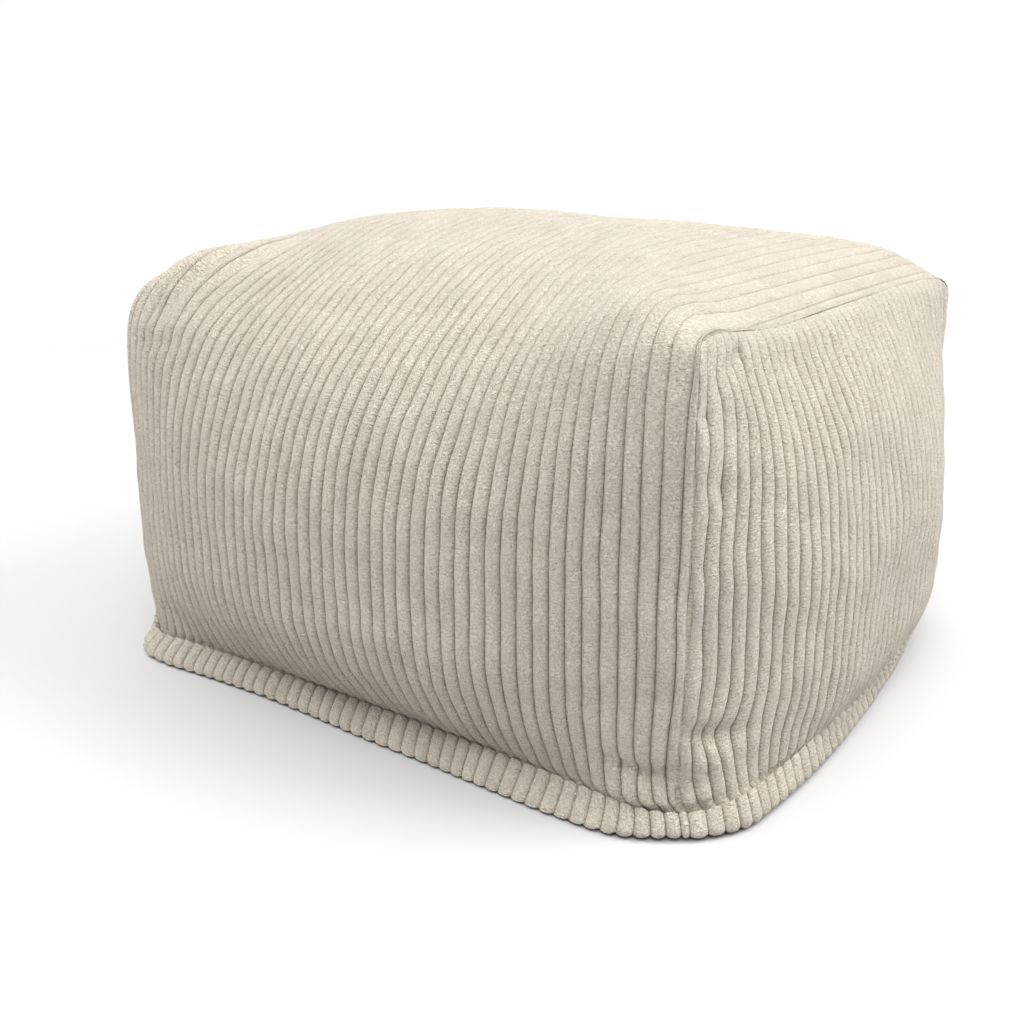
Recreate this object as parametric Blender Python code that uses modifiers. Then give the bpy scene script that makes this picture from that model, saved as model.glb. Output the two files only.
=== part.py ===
"""Bean bag footstool in jumbo cord, in metres.

The origin is the centre of the footprint on the floor. X runs along the long side, Y along the depth and
+Z is up. The wrap panel is the filled body: its ribs run up the front, over the top and down the back. A
ribbed end panel closes each end, and a flat base panel lies inside the ring of hems on the floor.

Two numbers find a point on the wrap panel: u is the place across the ribs, -1 at the left corner seam and 1
at the right one, and s is the place along a rib, 0 at the base seam, 1 where the shoulder starts and 2 at
the crown. On an end panel, w runs from -1 at the front corner seam to 1 at the back one, and s is 1 where
the corner seam turns in and 2 at the top seam.
"""

import math

import bmesh
import bpy
import numpy as np

# Cloth
RIB_PITCH = 0.010
RIB_HEIGHT = 0.0018
BACKING = 0.0014
GROOVE_SHOULDER = 0.22  # from a groove's bottom to its rib's crest, in pitches
LONG_RIBS = 45  # whole ribs along the wrap panel
CUT_RIB = 0.55  # the rib that each corner seam cuts through, in pitches
END_RIBS = 40  # whole ribs across an end panel

# Plan
WALL_CORNER = 0.0045
BASE_HALF_X = 0.248
BASE_HALF_Y = 0.2125
BASE_CORNER = 0.052
FRONT_BASE_BULGE = -0.005  # the base seam dips in a little along the front and the back
END_BASE_BULGE = 0.0145
FRONT_BULGE = 0.0425
END_BULGE = 0.041
TOP_INSET = 0.007  # how much further in the top seam lies than the corner seams

# Heights
BASE_SEAM_Z = 0.0145
FRONT_TUCK_TOP_Z = 0.094  # the front and the back are drawn in below this
END_TUCK_TOP_Z = 0.078
SHOULDER_Z = 0.125  # the front and the end start to roll over above this
CORNER_TOP_Z = 0.214  # the corner seams are upright below this
END_TOP_Z = 0.277
CROWN_Z = 0.316

# Powers that set how round or square each curve is
BULGE_POWER = 2.7
FRONT_TUCK_POWER = 0.8
END_TUCK_POWER = 0.37
CROWN_POWER = 3.75
SHOULDER_POWERS = (2.0, 2.3)  # across and up, mid way along the long side
SEAM_POWERS = (12.0, 3.0)  # across and up, along the seam of an end panel
EDGE_POWER = 4.9  # how late along the long side the shoulder squares off
END_ROLL_POWER = 2.2

# Hem
HEM_ROWS = (  # out from the base seam's line, height, share of a rib's height
    (-0.0037, 0.0023, 0.0),
    (-0.0037, 0.0, 0.0),
    (0.0065, 0.0, 0.5),
    (0.0080, 0.0040, 1.0),
    (0.0045, 0.0130, 1.0),
)
HEM_FLARE = 0.008  # further out at the floor, mid way along the front and the back
HEM_FLARE_POWER = 3.0

# Base panel and fits
BASE_THICKNESS = 0.002
BASE_INSET = 0.0046
PIECE_GAP = 0.0003
SEAM_GAP = PIECE_GAP * 1.5  # along X, so that PIECE_GAP is left square to the mitred corner seams
CAP_CLEARANCE = 0.008

# Steps of the meshes
LOW_STEPS = (0.0, 0.1, 0.3, 0.6, 1.0)
SHOULDER_STEPS = 6
END_UPPER_STEPS = (1.4, 1.75, 2.0)
BACK_RIBS = (0, 1, 2, 3, 4, 8, 12, 16, 20, 24, 28, 32, 36, 37, 38, 39, 40)
CAP_FOOT_PLACES = (0.8, 0.4, 0.0, -0.4, -0.8)
CAP_FOOT_INSET = 0.0055
CAP_FOOT_RISE = 0.010
CAP_CENTRE_Z = 0.130
CAP_RINGS = (0.9, 0.5)
BASE_PLACES = np.array((-1, -0.96, -0.92, -0.88, -0.84, -0.8, -0.4, 0, 0.4, 0.8, 0.84, 0.88, 0.92, 0.96, 1))

SURFACE_STEP = 0.001  # in u, w and s, for a surface's slope
MERGE_DISTANCE = 0.00002  # an end panel's columns meet where its corner seams turn in
SHARP_ANGLE = math.radians(50)

CREAM = (0.79, 0.74, 0.65, 1.0)
BEIGE = (0.70, 0.65, 0.56, 1.0)

SHEET = RIB_HEIGHT + BACKING
HALF_LENGTH = RIB_PITCH * (LONG_RIBS / 2 + CUT_RIB)
HALF_DEPTH = RIB_PITCH * END_RIBS / 2
QUARTER = math.pi / 2
DIAGONAL = math.sin(math.pi / 4)
ARC_SAVING = 1 - math.pi / 4  # a corner's half arc is shorter than its radius by this share
WALL_HALF_X = HALF_LENGTH + WALL_CORNER * ARC_SAVING
WALL_HALF_Y = HALF_DEPTH + WALL_CORNER * ARC_SAVING


def mix(low, high, share):
    return low + (high - low) * share


def side(place, half_along, half_across, corner, bulge):
    """A bulged rectangle's side at a place from 0, its middle, to 1, half way round its corner."""
    straight = half_along - corner
    arc = np.abs(place) * (straight + corner * math.pi / 4)
    turn = np.clip((arc - straight) / corner, 0, None)
    along = np.where(arc < straight, arc, straight + corner * np.sin(turn))
    reach = straight + corner * DIAGONAL
    across = half_across + bulge * (1 - (along / reach) ** BULGE_POWER) - corner * (1 - np.cos(turn))
    return np.sign(place) * along, across


def tuck(z, top, power):
    """0 at the base seam and 1 above the drawn-in foot of a wall."""
    share = np.clip((z - BASE_SEAM_Z) / (top - BASE_SEAM_Z), 0, 1)
    return np.sin(QUARTER * share) ** power


def level(z):
    """Half sizes, corner radius, front bulge and end bulge of the walls at height z."""
    front = tuck(z, FRONT_TUCK_TOP_Z, FRONT_TUCK_POWER)
    end = tuck(z, END_TUCK_TOP_Z, END_TUCK_POWER)
    return (
        mix(BASE_HALF_X, WALL_HALF_X, end),
        mix(BASE_HALF_Y, WALL_HALF_Y, front),
        mix(BASE_CORNER, WALL_CORNER, front),
        mix(FRONT_BASE_BULGE, FRONT_BULGE, front),
        mix(END_BASE_BULGE, END_BULGE, end),
    )


CORNER_X = WALL_HALF_X - WALL_CORNER * (1 - DIAGONAL)
CORNER_Y = WALL_HALF_Y - WALL_CORNER * (1 - DIAGONAL)


def seam_turn(y):
    """The angle up the end panel's rounded top at which its seam passes a given y."""
    share = np.clip(np.abs(y) / CORNER_Y, 0, 1)
    return np.arccos(share ** (SEAM_POWERS[0] / 2))


def rib_stations(half, cut, ribs):
    """Places across a panel from -1 to 1, each with its rise: 0 in a groove or seam, 1 on a rib's crest."""
    arcs = []
    if cut:
        arcs += [(-half, 0), (-half + cut / 2, 1)]
    for rib in range(ribs):
        groove = -half + cut + rib * RIB_PITCH
        shoulder = GROOVE_SHOULDER * RIB_PITCH
        arcs += [(groove, 0), (groove + shoulder, 1), (groove + RIB_PITCH - shoulder, 1)]
    arcs.append((half - cut, 0))
    if cut:
        arcs += [(half - cut / 2, 1), (half, 0)]
    places, rises = np.array(arcs, float).T
    return places / half, rises


END_PLACES, END_RISES = rib_stations(HALF_DEPTH, 0, END_RIBS)


def seam_vertices():
    """Angles of the wrap panel's points along a top seam, each beside a station of the end panel."""
    station_y = CORNER_Y * np.abs(END_PLACES)
    even = np.linspace(0, QUARTER, SHOULDER_STEPS + 1)
    chosen = [0]
    for turn in even[1:]:
        wanted = CORNER_Y * np.cos(turn) ** (2 / SEAM_POWERS[0])
        chosen.append(max(chosen[-1] + 1, int(np.argmin(np.abs(station_y - wanted)))))
    return seam_turn(station_y[chosen])


SEAM_TURNS = seam_vertices()
SHOULDER_S = 1 + np.arange(SHOULDER_STEPS + 1) / SHOULDER_STEPS


def wrap_surface(u, s):
    """The wrap panel without its ribs, over the front half."""
    edge = np.abs(u) ** EDGE_POWER
    turn = mix(QUARTER * np.clip(s - 1, 0, 1), np.interp(s, SHOULDER_S, SEAM_TURNS), edge)
    shoulder_z = mix(SHOULDER_Z, CORNER_TOP_Z, edge)
    low_z = mix(BASE_SEAM_Z, shoulder_z, np.clip(s, 0, 1))
    half_x, half_y, corner, bulge, _ = level(low_z)
    x, y = side(u, half_x, half_y, corner, bulge)
    top_z = mix(CROWN_Z, END_TOP_Z, np.abs(u) ** CROWN_POWER)
    power_y = mix(SHOULDER_POWERS[0], SEAM_POWERS[0], edge)
    power_z = mix(SHOULDER_POWERS[1], SEAM_POWERS[1], edge)
    z = np.where(s <= 1, low_z, mix(shoulder_z, top_z, np.sin(turn) ** (2 / power_z)))
    y = y * np.clip(np.cos(turn), 0, 1) ** (2 / power_y)
    x = x * (1 - TOP_INSET / WALL_HALF_X * np.sin(turn) ** 2)
    return np.stack([x, -y, z], -1)


def end_depth(y, z, wall_x):
    """How far out an end panel lies, from its seam's height above y and the bulged wall below it."""
    turn = seam_turn(y)
    top_z = mix(CORNER_TOP_Z, END_TOP_Z, np.sin(turn) ** (2 / SEAM_POWERS[1]))
    top_x = CORNER_X * (1 - TOP_INSET / WALL_HALF_X * np.sin(turn) ** 2)
    roll = np.clip((z - SHOULDER_Z) / (top_z - SHOULDER_Z), 0, 1)
    return top_z, mix(wall_x, top_x, roll**END_ROLL_POWER)


def end_surface(w, s):
    """The right end panel without its ribs."""
    low_z = mix(BASE_SEAM_Z, CORNER_TOP_Z, np.clip(s, 0, 1))
    half_x, half_y, corner, _, bulge = level(low_z)
    y, wall_x = side(w, half_y, half_x, corner, bulge)
    top_y, _ = side(w, WALL_HALF_Y, WALL_HALF_X, WALL_CORNER, END_BULGE)
    top_z, _ = end_depth(top_y, low_z, wall_x)
    z = np.where(s <= 1, low_z, mix(CORNER_TOP_Z, top_z, np.clip(s - 1, 0, 1)))
    _, x = end_depth(top_y, z, wall_x)
    return np.stack([x, y, z], -1)


def behind_end(y, z):
    """How far out the right end panel's surface lies behind a point of its plan."""
    half_x, half_y, corner, _, bulge = level(z)
    share = np.clip(np.abs(y) / (half_y - corner * (1 - DIAGONAL)), 0, 1)
    _, wall_x = side(share, half_y, half_x, corner, bulge)
    _, x = end_depth(y, z, wall_x)
    return x


def raised(surface, across, along, rises):
    """Points of a surface, with all but the crests sunk by the height of a rib."""
    left, right = np.clip(across - SURFACE_STEP, -1, 1), np.clip(across + SURFACE_STEP, -1, 1)
    below, above = np.clip(along - SURFACE_STEP, 0, 2), np.clip(along + SURFACE_STEP, 0, 2)
    over = surface(right, along) - surface(left, along)
    up = surface(across, above) - surface(across, below)
    normal = np.cross(over, up)
    normal /= np.maximum(np.linalg.norm(normal, axis=-1, keepdims=True), 1e-12)
    return surface(across, along) - normal * ((1 - rises) * RIB_HEIGHT)[..., None]


def hem_points(places, rises, half_along, half_across, bulge, flare):
    """Rows of a hem's points from its inner foot to its shoulder, as (along, across, height)."""
    rows = []
    for out, z, share in HEM_ROWS:
        out_here = out - (1 - rises) * RIB_HEIGHT * share
        along, across = side(
            places, half_along + out_here, half_across + out_here, BASE_CORNER + out_here, bulge
        )
        if out > 0:
            low = 1 - z / BASE_SEAM_Z
            across = across + flare * low * (1 - np.abs(places) ** HEM_FLARE_POWER)
        rows.append(np.stack([along, across, np.full_like(along, z)], -1))
    return np.stack(rows, 1)


def new_object(name, bm, material, collection):
    """Closes a mesh off as an object."""
    bmesh.ops.recalc_face_normals(bm, faces=bm.faces[:])
    mesh = bpy.data.meshes.new(name)
    bm.to_mesh(mesh)
    bm.free()
    mesh.materials.append(material)
    mesh.shade_smooth()
    mesh.set_sharp_from_angle(angle=SHARP_ANGLE)
    made = bpy.data.objects.new(name, mesh)
    collection.objects.link(made)
    return made


def add_points(bm, points):
    return [bm.verts.new(point) for point in np.reshape(points, (-1, 3))]


def add_strip(bm, first, second, closed=False):
    """Quads between two rows of as many points."""
    count = len(first)
    for i in range(count if closed else count - 1):
        j = (i + 1) % count
        bm.faces.new((first[i], first[j], second[j], second[i]))


def add_fans(bm, fine, coarse, fine_index):
    """Triangles between a fine row and a coarse one, whose points face the fine ones at fine_index."""
    for i, (start, end) in enumerate(zip(fine_index, fine_index[1:])):
        middle = (start + end) // 2
        for j in range(start, middle):
            bm.faces.new((fine[j], fine[j + 1], coarse[i]))
        bm.faces.new((coarse[i], fine[middle], coarse[i + 1]))
        for j in range(middle, end):
            bm.faces.new((fine[j], fine[j + 1], coarse[i + 1]))


def wrap_columns():
    """The wrap panel's columns of points from the front hem's foot to the crown."""
    places, rises = rib_stations(HALF_LENGTH, CUT_RIB * RIB_PITCH, LONG_RIBS)
    hem = hem_points(places, rises, BASE_HALF_X, BASE_HALF_Y, FRONT_BASE_BULGE, HEM_FLARE)
    hem[..., 1] *= -1
    steps = np.array(LOW_STEPS[:-1] + tuple(SHOULDER_S))
    u, s = np.meshgrid(places, steps, indexing="ij")
    wall_rises = rises[:, None] * (s > 0)
    wall = raised(wrap_surface, u, s, wall_rises)
    wall[:, -1, 1] = 0.0
    return np.concatenate([hem, wall], 1)


def mirrored(points, axis):
    copy = np.array(points, float)
    copy[..., axis] *= -1
    return copy


def seam_line(columns):
    """The right corner seam and top seam to the crown, and the line inside the cloth that faces it."""
    seam = columns[-1, len(HEM_ROWS) :]
    run = np.gradient(seam[:, 1:], axis=0)
    run /= np.linalg.norm(run, axis=1, keepdims=True)
    inward = np.stack([run[:, 1], -run[:, 0]], 1)
    inward[0], inward[-1] = (1, 0), (0, -1)
    inner = seam.copy()
    inner[:, 0] -= SHEET
    inner[:, 1:] += SHEET * inward
    inner[-1, 1] = 0.0
    return seam, inner


def cap_points(columns, inner):
    """Points that close the filled body behind the right end panel: its rim, its fold and its inner rings."""
    front = columns[-1, len(HEM_ROWS) :]
    foot = columns[-1, :1]
    foot_x = []
    foot_y = []
    for place in CAP_FOOT_PLACES:
        y, x = side(
            np.array(place),
            BASE_HALF_Y - CAP_FOOT_INSET,
            BASE_HALF_X - CAP_FOOT_INSET,
            BASE_CORNER - CAP_FOOT_INSET,
            END_BASE_BULGE,
        )
        foot_x.append(float(x))
        foot_y.append(float(y))
    floor = np.stack([foot_x, foot_y, np.full(len(foot_x), HEM_ROWS[0][1])], 1)
    rim = np.concatenate([foot, front, mirrored(front[:-1], 1)[::-1], mirrored(foot, 1), floor])
    inner_foot = foot + (-SHEET, SHEET, CAP_FOOT_RISE / 2)
    fold = np.concatenate(
        [
            inner_foot,
            inner,
            mirrored(inner[:-1], 1)[::-1],
            mirrored(inner_foot, 1),
            floor + (0, 0, CAP_FOOT_RISE),
        ]
    )
    rings = []
    for share in CAP_RINGS:
        y = fold[:, 1] * share
        z = mix(CAP_CENTRE_Z, fold[:, 2], share)
        rings.append(np.stack([behind_end(y, z) - SHEET - CAP_CLEARANCE, y, z], 1))
    centre_x = behind_end(0.0, CAP_CENTRE_Z) - SHEET - CAP_CLEARANCE
    return fold, rings, floor, (centre_x, 0.0, CAP_CENTRE_Z)


def close_end(bm, column, fold, rings, floor, centre, hand):
    """Closes one end of the filled body. column holds the end's points, from front foot over to back foot."""
    if hand < 0:
        fold, floor = mirrored(fold, 0), mirrored(floor, 0)
        rings = [mirrored(ring, 0) for ring in rings]
    hem = len(HEM_ROWS)
    foot_front, foot_back = column[0], column[-1]
    floor_points = add_points(bm, floor)
    rim = [foot_front] + column[hem:-hem] + [foot_back] + floor_points
    rows = [rim, add_points(bm, fold)] + [add_points(bm, ring) for ring in rings]
    for outer, inner in zip(rows, rows[1:]):
        add_strip(bm, outer, inner, closed=True)
    middle = bm.verts.new((hand * centre[0], centre[1], centre[2]))
    last = rows[-1]
    for i, point in enumerate(last):
        bm.faces.new((point, last[(i + 1) % len(last)], middle))
    bm.faces.new(column[: hem + 1])
    bm.faces.new(column[-hem - 1 :])
    bm.faces.new([foot_front] + [foot_back] + floor_points)


def wrap_panel(columns, inner, material, collection):
    """The filled body: front, top and back in one length of cord, with a hem at the front and the back."""
    loops = np.concatenate([columns, mirrored(columns[:, :-1], 1)[:, ::-1]], 1)
    bm = bmesh.new()
    rows = [add_points(bm, loop) for loop in loops]
    for first, second in zip(rows, rows[1:]):
        add_strip(bm, first, second, closed=True)
    fold, rings, floor, centre = cap_points(columns, inner)
    close_end(bm, rows[-1], fold, rings, floor, centre, 1)
    close_end(bm, rows[0], fold, rings, floor, centre, -1)
    return new_object("wrap_panel", bm, material, collection)


def end_panel(name, hand, seam, inner, material, collection):
    """An end's ribbed sheet with its hem. It meets the wrap panel along seam, and inner faces that inside."""
    places, rises = END_PLACES, END_RISES
    low = len(LOW_STEPS)
    steps = np.array(LOW_STEPS + END_UPPER_STEPS)
    w, s = np.meshgrid(places, steps, indexing="ij")
    outer = raised(end_surface, w, s, rises[:, None] * (s > 0))
    back_index = [3 * rib for rib in BACK_RIBS]
    back = end_surface(*np.meshgrid(places[back_index], steps, indexing="ij"))
    back[..., 0] -= RIB_HEIGHT + SHEET
    for points, line, at in ((outer, seam, places), (back, inner, places[back_index])):
        points[0, :low] = line[:low]
        points[-1, :low] = mirrored(line[:low], 1)
        points[0, low:] = line[low - 1]
        points[-1, low:] = mirrored(line[low - 1], 1)
        top = line[low - 1 :]
        top_y = CORNER_Y * np.cos(SEAM_TURNS) ** (2 / SEAM_POWERS[0])
        for i, place in enumerate(at):
            y = CORNER_Y * abs(place)
            spot = [np.interp(-y, -top_y, top[:, axis]) for axis in range(3)]
            points[i, -1] = (spot[0], math.copysign(spot[1], place), spot[2])
    hem = hem_points(places, rises, BASE_HALF_Y, BASE_HALF_X, END_BASE_BULGE, 0)[..., (1, 0, 2)]
    foot = hem[back_index, 1]
    for points in (outer, back, hem, foot):
        points[..., 0] += SEAM_GAP
        points[..., 0] *= hand

    bm = bmesh.new()
    face = np.concatenate([hem[:, 2:], outer], 1)
    hem_rows = face.shape[1] - len(steps)
    columns = [add_points(bm, column) for column in face]
    lining = [add_points(bm, np.concatenate([[at], column])) for at, column in zip(foot, back)]
    for first, second in zip(columns, columns[1:]):
        add_strip(bm, first, second)
    for first, second in zip(lining, lining[1:]):
        add_strip(bm, first, second)
    add_fans(bm, [c[0] for c in columns], [c[0] for c in lining], back_index)
    add_fans(bm, [c[-1] for c in columns], [c[-1] for c in lining], back_index)
    for column, inside in ((columns[0], lining[0]), (columns[-1], lining[-1])):
        bm.faces.new(column[: hem_rows + 1] + [inside[1], inside[0]])
        add_strip(bm, column[hem_rows:], inside[1:])
    bmesh.ops.remove_doubles(bm, verts=bm.verts[:], dist=MERGE_DISTANCE)
    return new_object(name, bm, material, collection)


def base_panel(material, collection):
    """The flat sheet underneath, inside the hems."""
    half_x, half_y = BASE_HALF_X - BASE_INSET, BASE_HALF_Y - BASE_INSET
    corner = BASE_CORNER - BASE_INSET
    long_side = np.stack(side(BASE_PLACES, half_x, half_y, corner, FRONT_BASE_BULGE), 1)
    short_side = np.stack(side(BASE_PLACES, half_y, half_x, corner, END_BASE_BULGE), 1)
    half = np.concatenate([long_side[:-1] * (1, -1), short_side[:-1, ::-1]])
    outline = np.concatenate([half, -half])
    bm = bmesh.new()
    bm.faces.new([bm.verts.new((x, y, BASE_THICKNESS)) for x, y in outline])
    made = new_object("base_panel", bm, material, collection)
    thicken = made.modifiers.new("thickness", "SOLIDIFY")
    thicken.thickness = BASE_THICKNESS
    return made


def cloth_material(name, colour):
    material = bpy.data.materials.new(name)
    material.use_nodes = True
    material.diffuse_color = colour
    shader = material.node_tree.nodes["Principled BSDF"]
    shader.inputs["Base Color"].default_value = colour
    shader.inputs["Roughness"].default_value = 0.95
    shader.inputs["Metallic"].default_value = 0.0
    return material


def main():
    for existing in list(bpy.data.objects):
        bpy.data.objects.remove(existing, do_unlink=True)
    collection = bpy.data.collections.new("bean_bag_footstool")
    bpy.context.scene.collection.children.link(collection)
    cord = cloth_material("jumbo_cord", CREAM)
    plain = cloth_material("base_cloth", BEIGE)
    columns = wrap_columns()
    seam, inner = seam_line(columns)
    wrap_panel(columns, inner, cord, collection)
    end_panel("end_panel_right", 1, seam, inner, cord, collection)
    end_panel("end_panel_left", -1, seam, inner, cord, collection)
    base_panel(plain, collection)


main()
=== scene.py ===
"""Looks of the bean bag footstool in jumbo cord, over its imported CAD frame. Metres, with +Z up.

The wrap cover runs up the front, over the top and down the back. On it, u is the place across the ribs,
from -1 at the left corner seam to 1 at the right one. s is the place along a rib: 0 at the front base seam,
1 where the shoulder starts, 2 at the crown and 4 at the back base seam. On an end cover, w runs from -1 at
the front corner seam to 1 at the back one, and s from 0 at the base seam to 2 at the top seam.

Creases and wandering ribs are placed by (across, run): metres across from the first corner seam, and metres
up from the base seam along the cloth.
"""

import math
from collections import namedtuple

import bmesh
import bpy
import numpy as np
from mathutils import Matrix, Vector


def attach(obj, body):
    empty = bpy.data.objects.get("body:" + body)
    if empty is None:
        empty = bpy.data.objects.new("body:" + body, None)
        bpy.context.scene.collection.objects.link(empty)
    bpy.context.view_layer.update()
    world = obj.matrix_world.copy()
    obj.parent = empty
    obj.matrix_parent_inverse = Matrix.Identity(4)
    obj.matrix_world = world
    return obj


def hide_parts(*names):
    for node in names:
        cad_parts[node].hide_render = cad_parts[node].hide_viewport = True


# Cloth
RIB_PITCH = 0.010
RIB_HEIGHT = 0.0026
RIB_SQUARENESS = 2.15
RIB_ROUNDNESS = 0.58
WALL_RELIEF = 1.30  # the ribs stand fuller on the walls than on the stretched top, and the same relief deepens the grooves' painted shade
TOP_RELIEF = 0.75
RELIEF_Z = (0.17, 0.30)
TAUT_PLACES = (0.26, 0.40)  # metres from the left: the top is tautest towards the right, its ribs flattest
TAUT_Z = (0.258, 0.300)
TAUT_RELIEF = 0.70
SEAM_RISE = 0.45  # share of a rib's height left at a corner or top seam
SEAM_RISE_REACH = 0.004
FOOT_RISE = 0.35  # and at a base seam
RIB_PLACES = (0.0, 0.03, 0.10, 0.26, 0.5, 0.74, 0.90, 0.97)
BACKING = 0.0014
LONG_RIBS = 45
CUT_RIB = 0.0055
END_RIBS = 40

# Plan
WALL_CORNER = 0.0045
BASE_HALF_X = 0.248
BASE_HALF_Y = 0.2125
FRONT_BASE_BULGE = -0.0085
END_BASE_BULGE = 0.0145
FRONT_BULGE = 0.0425
END_BULGE = 0.0425
TOP_INSET = 0.007

# How the filled bag leans and settles
BASE_PULL_RIGHT = 0.0330  # the base is drawn in by this much at the back right
BASE_PULL_LEFT = 0.0150
PULL_TOP_Z = 0.125  # and less and less up to this height
PULL_POWER = 0.25
PULL_POWERS_RIGHT = (2, 1.9)  # how late the base's pull grows to the right and to the back
TOP_PULL_RIGHT = 0.0045
TOP_PULL_LEFT = 0.0045
TOP_PULL_Z = (0.10, 0.19)
CORNER_SINK = 0.0078  # the top's back right corner
SINK_POWERS = (1.3, 2, 3)  # how late it sinks to the right, to the back and up
NEAR_LIFT = 0.0062  # the top's front right corner stands up squarer
NEAR_LIFT_Y = (0.095, 0.185)
NEAR_DIP = 0.0014  # and the seam behind it sags
NEAR_DIP_Y = (-0.065, 0.065)  # its middle and how far it spreads
NEAR_X = (0.12, 0.22)
NEAR_Z = (0.17, 0.26)
RIB_SLIDE_FRONT = 0.005  # near the floor the ribs drift sideways, most at the middle of a wall
RIB_SLIDE_END = -0.0096
RIB_SLIDE_REACH = 0.15
RIB_SLIDE_POWER = 3

# Heights
BASE_SEAM_Z = 0.0145
FRONT_TUCK_TOP_Z = 0.094
END_TUCK_TOP_Z = 0.078
SHOULDER_Z = 0.125
END_TOP_Z = 0.277
CROWN_Z = 0.316

# Powers that set how round or square each curve is
BULGE_POWER = 2.7
FRONT_TUCK_POWER = 0.8
END_TUCK_POWER = 0.37
CROWN_POWER = 3.75
SHOULDER_POWERS = (2.0, 2.3)
EDGE_POWER = 4.9
END_ROLL_POWER = 2.2

# Rows of a hem from its inner foot up to the base seam: out, height, share of a rib's relief
HEM_ROWS = (
    (-0.0037, 0.0023, 0.0),
    (-0.0037, 0.0002, 0.0),
    (0.0030, 0.0002, 0.3),
    (0.0062, 0.0006, 0.7),
    (0.0088, 0.0018, 1.0),
    (0.0100, 0.0038, 1.1),
    (0.0094, 0.0062, 1.1),
    (0.0074, 0.0094, 1.05),
    (0.0048, 0.0130, 1.0),
    (0.0020, 0.0154, 0.9),
)
HEM = len(HEM_ROWS)
# How much further out the front and back hems stand at the floor, by place from the left corner to the right
HEM_FLARE = (
    (-1.00, 0.0040),
    (-0.92, 0.0092),
    (-0.82, 0.0122),
    (-0.62, 0.0105),
    (-0.41, 0.0098),
    (-0.22, 0.0118),
    (0.00, 0.0144),
    (0.43, 0.0160),
    (0.60, 0.0156),
    (0.72, 0.0130),
    (0.80, 0.0082),
    (0.88, 0.0022),
    (0.94, -0.0004),
    (1.00, -0.0012),
)
HEM_DRIFT = 0.0034  # the hem's ribs don't meet the wall's
HEM_DRIFT_SWELL = (0.5, 0.120)  # share that comes and goes, size of its swells
HEM_DRIFT_TOP = 0.7  # share of the drift at the base seam
HEM_SLANT = 0.0085  # at the front they slant, and lie this much further along at the floor
SLANT_FADE = (0.10, 0.62)  # places between which they straighten
HEM_END_REACH = 0.030  # over this length drift and slant die out into a corner
END_SEAM_LIFT = 0.0070  # an end's base seam rides up in its middle
END_LIFT_REACH = 0.030
END_LIFT_POWER = 4

# Unevenness: height, size of the swells, number of the draw
WRAP_STRAY = ((0.0007, 0.110, 0), (0.00025, 0.030, 1))  # sideways
WRAP_SWELLS = ((0.0008, 0.120, 2), (0.0004, 0.035, 3))  # in and out
END_STRAY = ((0.0008, 0.090, 0), (0.0003, 0.028, 1))
END_SWELLS = ((0.0014, 0.100, 2), (0.0004, 0.032, 3))
RIB_SWELL = (0.10, 0.050, 4)  # share of a rib's height
END_HEM_DRAW = 5
WRAP_SEED = 3  # a cover's draws are numbered from its seed
FRONT_HEM_SEED = 41
BACK_HEM_SEED = 42
SWELL_WAVES = 9
SWELL_SIZES = (0.7, 1.8)  # a wave's length, as a share of the swells' size
SWELL_PEAK = 1.6

# Steps of the meshes
WALL_ROWS = 44
WALL_ROW_POWER = 1.5
SHOULDER_ROWS = 62
END_WALL_ROWS = 56
END_TOP_ROWS = 22
HAND_STEPS = 4001
SLOPE_STEP = 0.001
TINY = 1e-15  # keeps a division off zero
NO_SLOPE = 1e-12
MERGE_DISTANCE = 0.00002
SHARP_ANGLE = math.radians(62)

# Seams
SEAM_GAP = 0.0003
SEAM_EASE = 0.0030  # over this length a rib's end rounds off into a seam
SEAM_TAPER = 0.006  # over this length a crease or swell dies out into a seam
WALL_FADE = 0.020  # and over this length the walls' large swells
TOP_ROLL = 0.012  # below a top seam the grooves fade over this length
TOP_ROLL_LEAST = 0.35
END_ROLL = (0.0014, 0.0110, 0.0080)  # the soft roll beside a top seam: height, distance off it, half width
CREASE_END = 0.35  # share of a crease's height left at its ends
FLOOR_CLEARANCE = 0.0001

# The filled body's hidden ends, behind the end covers
CAP_RINGS = (0.9, 0.6, 0.3)
CAP_CLEARANCE = 0.009
CAP_CENTRE_Z = 0.130
CAP_FOOT_PLACES = (0.8, 0.4, 0.0, -0.4, -0.8)
CAP_FOOT_INSET = 0.0055
CAP_FOOT_RISE = 0.010

# Base
BASE_THICKNESS = 0.0018
BASE_INSET = 0.0048
BASE_CELLS = (60, 48)
BASE_CORNER_POWER = 7.0
BASE_EDGE = 0.04  # share of the half width over which its edge thins
BASE_EDGE_LEAST = 0.55
BASE_EDGE_RISE = 0.0002
BASE_WAVE = (0.0001, 0.05, 31)  # height, size of the swells, seed of the draw

# Tiles of the maps that a bake uses: low and high corners
WRAP_TILE = ((0.005, 0.065), (0.995, 0.995))
UNDER_TILE = ((0.005, 0.052), (0.995, 0.062))
CAP_TILES = {1: ((0.005, 0.012), (0.495, 0.049)), -1: ((0.505, 0.012), (0.995, 0.049))}
CAP_TRIM_TILES = {1: ((0.005, 0.002), (0.015, 0.009)), -1: ((0.505, 0.002), (0.515, 0.009))}
FACE_TILE = ((0.005, 0.455), (0.995, 0.995))
LINING_TILE = ((0.005, 0.045), (0.995, 0.435))
FOOT_TILE = ((0.005, 0.437), (0.995, 0.440))
TOP_TILE = ((0.005, 0.444), (0.995, 0.450))
SIDE_TILES = (((0.005, 0.012), (0.255, 0.040)), ((0.300, 0.012), (0.550, 0.040)))
SIDE_TRIM_TILES = (((0.005, 0.002), (0.015, 0.008)), ((0.300, 0.002), (0.310, 0.008)))
BASE_TOP_TILE = ((0.005, 0.505), (0.995, 0.995))
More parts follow.
